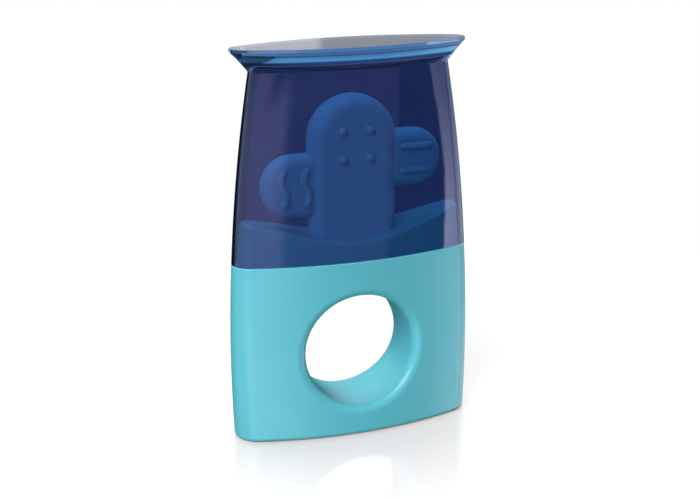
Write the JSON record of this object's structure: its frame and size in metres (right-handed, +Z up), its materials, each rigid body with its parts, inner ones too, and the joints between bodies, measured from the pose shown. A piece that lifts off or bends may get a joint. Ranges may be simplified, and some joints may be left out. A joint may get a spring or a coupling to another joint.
{
  "type": "covered baby teether",
  "caption": "Covered baby teether: ring handle with a finger hole, soft cactus-shaped chew head on a dished neck, and a tinted see-through slip-on cover with a flared top.",
  "frame": {"origin": "middle of the base, on the surface that it stands on", "axes": "+Z up along the height, +X to the right seen from the front, front face towards -Y"},
  "size_m": [0.0678, 0.0216, 0.105],
  "materials": {
    "handle": "satin moulded plastic",
    "core": "plain moulded plastic",
    "chew_head": "matte silicone",
    "cover": "clear tinted plastic, polished"
  },
  "bodies": {
    "teether": {"handle_front_shell": "handle", "handle_rear_shell": "handle", "core": "core", "chew_head": "chew_head"},
    "lid": {"cover": "cover"}
  },
  "joints": [
    {"name": "cover_lift", "type": "slide", "parent": "teether", "child": "lid", "axis": [0, 0, 1], "range_m": [0, 0.05]}
  ]
}
